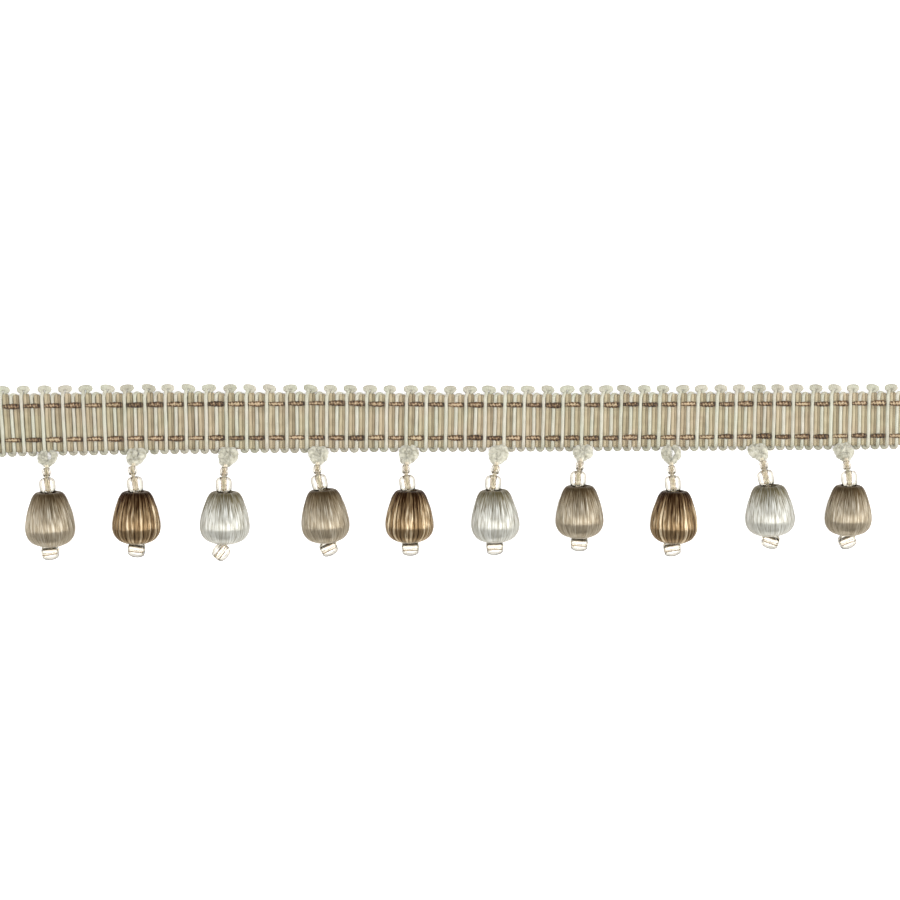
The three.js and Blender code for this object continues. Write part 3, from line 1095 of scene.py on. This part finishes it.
    def brown_yarn(self) -> Piece:
        """Two rows of two-ply yarn that float over three ribs and dive under the fourth.

        Returns:
            The yarn.
        """
        parts = MeshParts()
        for row in range(2):
            for repeat in self.plan.numbers():
                start, stop = (self.plan.column(repeat + next_one, self.ivory[0]) for next_one in (0, 1))
                thick = self.random.uniform(0.85, 1.15)
                bow = self.random.uniform(-0.12, 0.16)
                points = []
                for share in np.linspace(0, 1, 15):
                    x, arch = start + share * (stop - start), math.sin(math.pi * share)
                    rise = float(np.clip((arch - 0.15) / 0.32, 0, 1))
                    y = self.plan.yarn_rows(x)[row] + bow * arch
                    points.append(self.place(x, y, self.yarn_low + self.yarn_lift * rise))
                path = smooth_path(points, self.float_rows) * MM
                phase = self.random.uniform(0, 2 * math.pi)
                turn = self.random.uniform(1.5, 2.0) * MM
                pale = self.random.uniform(0.5, 1.35)
                along = np.linspace(0, 1, self.float_rows)
                swell = thick * np.interp(along, *self.yarn_swell)
                fade = np.interp(along, *self.yarn_end_shade)
                for aside, rise, shade in self.yarn_plies:
                    line = path + np.outer(swell, (0.0, aside * MM, rise * MM))
                    for half in range(2):
                        middle = twisted(line, self.ply_circle * swell * MM, turn, phase + half * math.pi)
                        radius = self.ply_thick * swell * MM
                        # Painted shade: the ends where the yarn dives under the ribs, and the outer plies,
                        # are darker.
                        tones = fade * shade * pale - 0.25 * half
                        parts.tube(middle, radius, radius, 5, tones, self.yarn_underside_shade)
        return parts.build("heading_brown_yarn")

    def ground(self) -> Piece:
        """The flat woven ground that the ribs wrap, with its back on the table.

        Returns:
            The ground.
        """
        low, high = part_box("heading")
        left, right = low.x / MM + self.ground_inset, high.x / MM - self.ground_inset
        columns = np.linspace(left, right, self.ground_rows)
        rings = []
        for x in columns:
            bottom = self.plan.rib_end(x) + 0.1
            tall = self.plan.swayed(self.plan.upper_yarn, x) + self.plan.ground_reach - bottom
            rings.append([
                self.place(x, bottom + tall * up, self.ground_high * out) for up, out in self.ground_section
            ])
        parts = MeshParts()
        parts.grid(np.array(rings) * MM, columns - columns[0], np.full(len(columns), 0.5), ends=True)
        return parts.build("heading_ground")

    def build(self) -> None:
        """Builds and dresses the heading."""
        ground = self.ground()
        dress(ground, self.finishes.ground, ("heading",))
        cords = {
            self.ivory_cords(): self.finishes.ivory,
            self.beige_cords(): self.finishes.beige,
            self.brown_yarn(): self.finishes.yarn,
        }
        for piece, material in cords.items():
            dress(piece, material)
        wide = (self.plan.upper_yarn + self.plan.ground_reach - self.plan.rib_end(0.0)) * MM


@dataclass(frozen=True)
class Turned:
    """A clear bead's outline: places out from its hole's axis and along it, in millimetres.

    The wall of its hole is what lies nearer the axis than mouth times the first place out.
    """

    outline: Outline
    around: int = 44
    along: int = 44
    mouth: float = 1.3
    mouth_fade: float = 0.1

    def mesh(self) -> MeshParts:
        """The closed turned form, its axis upright, with a tone of one on the wall of its hole.

        Returns:
            Its mesh.
        """
        line = smooth_path([(out, 0.0, up) for out, up in self.outline], self.along, closed=True)
        line = np.vstack([line, line[:1]])
        points = turned_points(line[:, :1], round_angles(self.around), line[:, 2:])
        tone = np.clip((self.mouth * self.outline[0][0] - line[:, 0]) / self.mouth_fade, 0, 1)
        parts = MeshParts()
        parts.grid(points * MM, np.linspace(0, 1, len(line)), tone)
        return parts


@dataclass
class SilkBead:
    """A pear-shaped bead wound with thread from end to end, its sizes in millimetres.

    Its profile gives heights as shares of its length and widths as shares of its own.
    """

    drop: Drop
    number: int
    wide: float
    tall: float
    profile: Outline = (
        (0.0, 0.38), (0.012, 0.47), (0.05, 0.67), (0.1, 0.815), (0.18, 0.935), (0.27, 0.99), (0.36, 1.0),
        (0.46, 0.975), (0.58, 0.925), (0.68, 0.865), (0.79, 0.78), (0.88, 0.71), (0.95, 0.62), (0.985, 0.54),
        (1.0, 0.44),
    )
    seat: Outline = ((2.35, 0.12), (2.05, 0.6), (1.55, 1.25), (1.1, 2.0))
    foot_seat: Outline = ((1.1, 2.5), (1.8, 1.3), (2.4, 0.35))
    rows: int = 44
    uneven: float = 0.025
    swell: float = 0.035
    waves: Pair = (1.5, 3.5)
    # Painted shade: how much darker the tops of the silk beads are.
    top_shade_depth: float = 0.6

    def section(self) -> np.ndarray:
        """Half of the bead's section, from its foot round its outside and back through its hole.

        Returns:
            Places along the section.
        """
        outside = [(out * self.wide / 2, 0.0, (up - 0.5) * self.tall) for up, out in self.profile]
        outline = smooth_path(outside, self.rows)
        top = [(out, 0.0, self.tall / 2 - deep) for out, deep in self.seat]
        foot = [(out, 0.0, deep - self.tall / 2) for out, deep in self.foot_seat]
        return np.vstack([outline, top, foot, outline[:1]])

    def build(self, finishes: Finishes, matrix: Matrix) -> None:
        """Builds the bead and dresses it.

        Args:
            finishes: The trim's finishes.
            matrix: Where the bead is.
        """
        random = np.random.default_rng(100 + self.number)
        winding, line = self.drop.winding, self.section()
        threads, sides = winding.threads, winding.sides
        around = threads * sides
        share = np.clip(line[:, 2:] / self.tall + 0.5, 0, 1)
        fade = np.clip(line[:, :1] / (self.wide / 2), 0, 1)
        angle = round_angles(around)
        groove = 1 - np.abs(np.sin(angle * threads / 2)) ** 0.45
        uneven = np.repeat(random.uniform(0.5, 1.0, threads), sides)
        level = np.repeat(random.normal(0, self.uneven, threads), sides)
        swell, bends = np.zeros((len(line), around)), np.zeros((len(line), around))
        for count in self.waves:
            amount = np.repeat(random.normal(0, 0.4, threads), sides)
            phase = np.repeat(random.uniform(0, 2 * math.pi, threads), sides)
            wave = np.sin(2 * math.pi * count * share + phase)
            bends += amount * wave / count
            swell += self.swell * wave / count
        kernel = np.hanning(2 * sides + 1)
        kernel /= kernel.sum()
        bends = np.array([np.convolve(np.tile(row, 3), kernel, "same")[around:-around] for row in bends])
        turned = angle + (2 * math.pi / threads) * winding.stray * bends
        turned += math.radians(self.drop.wind) * (share - 0.5)
        radius = line[:, :1] - winding.groove * groove * uneven * fade + (level + swell) * fade
        radius = np.where(np.arange(len(line))[:, None] < self.rows, radius, line[:, :1])
        tones = np.repeat(random.uniform(0.3, 0.72, threads), sides)
        # Painted shade: the grooves between the threads are darker.
        tones = 0.5 + (tones - 0.5) * winding.spread - 0.6 * groove * min(1.0, 2 * winding.groove)
        parts = MeshParts()
        points = turned_points(radius, turned, line[:, 2:]) * MM
        parts.grid(points, share[:, 0], tones + self.shading(share))
        name = f"silk_bead_{self.number:02d}"
        piece = parts.build(f"{name}_winding", matrix)
        dress(piece, finishes.silk[self.drop.silk], (name,))

    def shading(self, share: np.ndarray) -> np.ndarray:
        """Painted shade, darker toward the top where the threads gather into the hole, and painted light, a
        little lighter at the foot.
        """
        top_shade_mask = np.clip((share - 0.55) / 0.4, 0, 1) ** 1.6
        return 0.12 * np.clip((0.12 - share) / 0.12, 0, 1) - self.top_shade_depth * top_shade_mask


@dataclass
class DropBuilder:
    """Builds one drop: loop, strand, seed, glass bead, silk bead and end bead, in millimetres."""

    drop: Drop
    number: int
    plan: BraidPlan
    finishes: Finishes
    glass: Turned = Turned((
        (0.98, -2.3), (1.3, -2.45), (1.75, -2.3), (2.15, -1.7), (2.33, -0.7), (2.33, 0.6),
        (2.15, 1.36), (1.75, 1.82), (1.3, 1.95), (0.98, 1.85), (0.86, 0.0),
    ))
    seed: Turned = Turned((
        (0.8, -1.05), (0.95, -1.18), (1.17, -0.85), (1.27, 0.0), (1.17, 0.85), (0.95, 1.18), (0.8, 1.05),
        (0.76, 0.0),
    ), 28, 32)
    end: Turned = Turned((
        (1.02, -2.15), (1.25, -2.36), (1.65, -2.2), (2.03, -1.65), (2.27, -0.85), (2.35, 0.0),
        (2.27, 0.85), (2.03, 1.65), (1.65, 2.2), (1.25, 2.36), (1.02, 2.15), (0.96, 0.0),
    ))
    end_tuck: float = 0.3
    seed_slant: float = 0.4
    seat_deep: float = 1.8
    loop_rows: int = 64
    loop_slim: Rows = ((0, 0.12, 0.36, 0.5, 0.64, 0.88, 1), (0.8, 1, 0.9, 0.66, 0.9, 1, 0.8))
    loop_turn: float = 2.9
    hair_count: int = 300
    hair_thick: float = 0.036
    hair_low: float = 0.05
    strand_rows: int = 60
    strand_turn: float = 2.6
    strand_thick: Pair = (0.3, 0.12)
    end_thread: Outline = ((1.1, 2.1), (2.2, 1.15), (2.2, 0.35))
    end_thread_rows: int = 56
    end_thread_thick: float = 0.1

    def node(self, kind: str) -> str:
        """Name of one of this drop's solids."""
        return f"{kind}_{self.number:02d}"

    def centre(self, kind: str) -> Vector:
        """Middle of one of this drop's solids, in metres."""
        low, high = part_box(self.node(kind))
        return (low + high) / 2

    def turned_to(self, centre: Vector, axis: Vector) -> Matrix:
        """A frame at a place with its upright along an axis."""
        return Matrix.Translation(centre) @ axis.to_track_quat("Z", "Y").to_matrix().to_4x4()

    def bead(self, kind: str, form: Turned, axis: Vector, tuck: float = 0.0) -> None:
        """Builds one clear bead in place of its solid.

        Args:
            kind: The solid's kind.
            form: The bead's form.
            axis: Direction of its hole.
            tuck: How far it is moved up toward the bead above.
        """
        place = self.centre(kind) + self.drop.upward * tuck * MM
        piece = form.mesh().build(f"{self.node(kind)}_clear", self.turned_to(place, axis))
        dress(piece, self.finishes.glass, (self.node(kind),))

    def loop(self) -> Point:
        """Builds the fuzzy yarn loop.

        Returns:
            Its foot.
        """
        random = np.random.default_rng(300 + self.number)
        seed = self.centre("seed_bead") / MM
        end = self.plan.rib_end(self.drop.root)
        foot_y = seed.y + 1.25
        tall = end - foot_y
        root, slant, opened = self.drop.root, self.drop.loop_slant, self.drop.loop_open
        foot_x = root + 0.6 * (seed.x - root)
        wide = 1.58 + 0.3 * opened
        path = smooth_path([
            (root - 0.75 + slant, end + 0.2, 0.85),
            (root - wide + slant, end - 0.2 * tall, 2.1),
            (root - wide + 0.05 + 0.5 * slant, end - 0.5 * tall, 2.7),
            (foot_x - 0.66, foot_y + 1.2, 3.5),
            (foot_x, foot_y + 0.85, 4.1),
            (foot_x + 0.7, foot_y + 1.3, 3.5),
            (root + wide + 0.5 * slant, end - 0.47 * tall, 2.7),
            (root + wide + slant, end - 0.18 * tall, 2.1),
            (root + 0.75 + slant, end + 0.2, 0.85),
        ], self.loop_rows)
        inner = root + slant - 0.1 - 0.75 * opened
        heart = smooth_path([
            (inner, end + 0.2, 0.9),
            (inner - 0.05, end - 0.28 * tall, 2.5),
            (0.5 * (inner + foot_x), end - 0.55 * tall, 2.9),
            (foot_x, foot_y + 1.1, 3.0),
        ], self.loop_rows)
        slim = np.interp(np.linspace(0, 1, self.loop_rows), *self.loop_slim)
        yarn = (1.24 - 0.3 * opened) * MM
        parts = MeshParts()
        tapering = np.linspace(1.0, 0.7, self.loop_rows)
        for line, size, taper in ((path * MM, 0.62, slim), (heart * MM, 0.5, tapering)):
            for ply in range(3):
                middle = twisted(line, 0.42 * yarn, self.loop_turn * MM, 2 * math.pi * ply / 3)
                lumps = 1 + 0.17 * np.convolve(random.normal(0, 1, self.loop_rows), np.ones(3) / 2, "same")
                radius = size * yarn * lumps * taper
                parts.tube(middle, radius, radius, 10, random.uniform(0.35, 0.65))
            self.hairs(parts, line, yarn, random)
        piece = parts.build(f"{self.node('tie')}_fuzzy_loop")
        dress(piece, self.finishes.fuzz, (self.node("tie"),))
        return (foot_x, foot_y + 0.7, 4.6)

    def hairs(self, parts: MeshParts, path: np.ndarray, radius: float, random: np.random.Generator) -> None:
        """Adds the stray fibres that stand off the yarn.

        Args:
            parts: The mesh to add to.
            path: The yarn's middle, in metres.
            radius: The yarn's thickness, in metres.
            random: Where the fibres' unevenness comes from.
        """
        for _ in range(self.hair_count):
            at = path[random.integers(2, len(path) - 2)]
            way = Vector(random.normal(0, 1, 3)).normalized()
            bend = Vector(random.normal(0, 1, 3)) * 0.5
            reach = random.uniform(0.3, 0.7) * MM
            start = Vector(at) + way * radius * 0.75
            line = [start, start + way * reach * 0.5, start + (way + bend) * reach]
            line = [(p.x, p.y, max(p.z, self.hair_low * MM)) for p in line]
            thick = self.hair_thick * MM
            parts.tube(np.array(line), thick, thick, 3, random.uniform(0.5, 0.9))

    def strand(self, foot: Point) -> None:
        """Builds the threads that run from the loop through the beads and round the last one.

        Args:
            foot: The loop's foot.
        """
        seed, glass, end = (self.centre(f"{kind}_bead") / MM for kind in ("seed", "glass", "end"))
        silk, _, tall = self.silk_place()
        axis, out = self.drop.upward, self.drop.across
        top, bottom = silk + axis * (tall / 2 - self.seat_deep), silk - axis * (tall / 2 - 0.6)
        line = [foot, *(tuple(place) for place in (seed, glass, top, silk, bottom))]
        path = smooth_path(line, self.strand_rows) * MM
        seed_joint_shade = np.abs(path[:, 1] / MM - (seed.y - 1.35)) < 0.3
        hidden = path[:, 1] / MM < glass.y - 1.9
        # Painted shade: the thread is darkest at the seed bead's lower end and where it runs hidden inside
        # the silk bead.
        tones = np.where(seed_joint_shade | hidden, 0.0, 0.38)
        shown_thick, hidden_thick = self.strand_thick
        thick = np.where(hidden, hidden_thick, shown_thick) * MM
        parts = MeshParts()
        for ply in range(3):
            middle = twisted(path, thick, self.strand_turn * MM, 2 * math.pi * ply / 3)
            parts.tube(middle, 0.96 * thick, 0.96 * thick, 7, tones + 0.1 * ply)
        up, mouth = (silk - end).normalized(), tuple(bottom + axis * 0.4)
        right, left = ([tuple(end + out * way * a + up * b) for a, b in self.end_thread] for way in (1, -1))
        turn = smooth_path([mouth, *right, tuple(end), *reversed(left), mouth], self.end_thread_rows) * MM
        half = self.end_thread_thick * MM
        for ply in range(2):
            parts.tube(twisted(turn, 0.9 * half, 1.4 * MM, math.pi * ply), half, half, 6, 0.5)
        dress(parts.build(f"{self.node('tie')}_threads"), self.finishes.thread)

    def silk_place(self) -> tuple[Vector, float, float]:
        """Where the silk bead's middle is, and how wide and long the bead is, in millimetres.

        Returns:
            The middle, the width and the length along the bead's own axis.
        """
        low, high = (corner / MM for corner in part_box(self.node("silk_bead")))
        wide = high.x - low.x
        axis = self.drop.upward
        slant = axis.angle(Vector((0.0, 1.0, 0.0)))
        tall = (high.y - low.y - 0.39 * wide * math.sin(slant)) / math.cos(slant)
        middle = (low + high) / 2
        middle.z = low.z + wide / 2 + (0.5 - SILK_BELLY) * tall * axis.z
        return middle, wide, tall

    def build(self) -> None:
        """Builds and dresses the whole drop."""
        middle, wide, tall = self.silk_place()
        axis = self.drop.upward
        SilkBead(self.drop, self.number, wide, tall).build(self.finishes, self.turned_to(middle * MM, axis))
        foot = self.loop()
        seed, glass = self.centre("seed_bead"), self.centre("glass_bead")
        mouth = (middle + axis * (tall / 2 - self.seat_deep)) * MM
        strung = Vector(foot) * MM - glass
        strung.z *= self.seed_slant
        self.bead("seed_bead", self.seed, strung)
        self.bead("glass_bead", self.glass, seed - mouth)
        self.bead("end_bead", self.end, self.drop.across, self.end_tuck)
        self.strand(foot)
        LOG.info("drop %d: %s bead %.1f by %.1f mm", self.number, self.drop.silk.name.lower(), wide, tall)


@dataclass(frozen=True)
class Studio:
    """White paper, soft light panels and a camera straight above the trim.

    The camera's aim and distance are in millimetres, the paper and the panels in metres. Each
    panel has its name, its place and depth up the picture, and its brightness.
    """

    aim: Point = (0.0, -8.6, 3.0)
    distance: float = 967.0
    lens: float = 135.0
    sensor: float = 36.0
    floor: float = 4.0
    floor_gap: float = 0.02 * MM
    room: float = 0.14
    panel_high: float = 0.9
    panel_wide: float = 2.3
    panel_shift: float = 0.5
    panels: tuple[tuple[str, float, float, float], ...] = (
        ("front", -1.25, 1.65, 0.45),
        ("overhead", -0.2, 0.44, 4.25),
        ("behind", 0.22, 0.38, 0.3),
    )
    near_clip: float = 0.01
    far_clip: float = 20.0
    side_far: float = 1.0
    side_back: float = 0.3
    side_deep: float = 1.3
    side_low: float = 0.05
    side_tall: float = 1.0
    left_bright: float = 3.5
    right_bright: float = 4.3

    def camera(self) -> None:
        """Makes the camera, looking straight down with the heading at the top."""
        data = bpy.data.cameras.new("camera")
        data.lens, data.sensor_width = self.lens, self.sensor
        data.clip_start, data.clip_end = self.near_clip, self.far_clip
        camera = bpy.data.objects.new("camera", data)
        x, y, z = self.aim
        camera.location = (x * MM, y * MM, (z + self.distance) * MM)
        bpy.context.scene.collection.objects.link(camera)
        bpy.context.scene.camera = camera

    def light(self, name: str, place: Point, size: Pair, power: float) -> Piece:
        """Makes one level light panel.

        Args:
            name: Its name.
            place: Its middle, in metres.
            size: Its width and depth, in metres.
            power: Its power, in watts.

        Returns:
            The light.
        """
        data = bpy.data.lights.new(name, "AREA")
        data.shape, data.size, data.size_y, data.energy = "RECTANGLE", size[0], size[1], power
        lamp = bpy.data.objects.new(name, data)
        lamp.location = place
        bpy.context.scene.collection.objects.link(lamp)
        return lamp

    def paper(self, finishes: Finishes) -> None:
        """Lays the white paper that the trim rests on.

        Args:
            finishes: The trim's finishes.
        """
        half = self.floor / 2
        mesh = bpy.data.meshes.new("paper")
        corners = [(-half, -half, 0.0), (half, -half, 0.0), (half, half, 0.0), (-half, half, 0.0)]
        mesh.from_pydata(corners, [], [(0, 1, 2, 3)])
        paper = bpy.data.objects.new("paper", mesh)
        paper.location.z = -self.floor_gap
        mesh.materials.append(finishes.floor)
        bpy.context.scene.collection.objects.link(paper)

    def lights(self) -> None:
        """Makes the soft lights and the dim room round them."""
        for name, y, deep, bright in self.panels:
            power = bright * math.pi * self.panel_wide * deep
            self.light(name, (self.panel_shift, y, self.panel_high), (self.panel_wide, deep), power)
        for name, way, bright in (("left", -1, self.left_bright), ("right", 1, self.right_bright)):
            power = bright * math.pi * self.side_tall * self.side_deep
            place = (way * self.side_far, self.side_back, self.side_low + self.side_tall / 2)
            lamp = self.light(name, place, (self.side_deep, self.side_tall), power)
            lamp.rotation_euler = (math.pi / 2, 0.0, way * math.pi / 2)
        world = bpy.data.worlds.new("room")
        world.use_nodes = True
        background = world.node_tree.nodes["Background"]
        background.inputs["Color"].default_value = (1.0, 1.0, 1.0, 1.0)
        background.inputs["Strength"].default_value = self.room
        bpy.context.scene.world = world
        bpy.context.scene.view_settings.view_transform = "Standard"


def main() -> None:
    """Builds the trim round its solids."""
    logging.basicConfig(level=logging.INFO, format="%(message)s")
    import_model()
    studio = Studio()
    studio.camera()
    finishes = Finishes()
    plan = BraidPlan()
    Braid(plan, finishes).build()
    for number, drop in enumerate(DROPS, 1):
        DropBuilder(drop, number, plan, finishes).build()
    studio.paper(finishes)
    studio.lights()


if __name__ == "__main__":
    main()
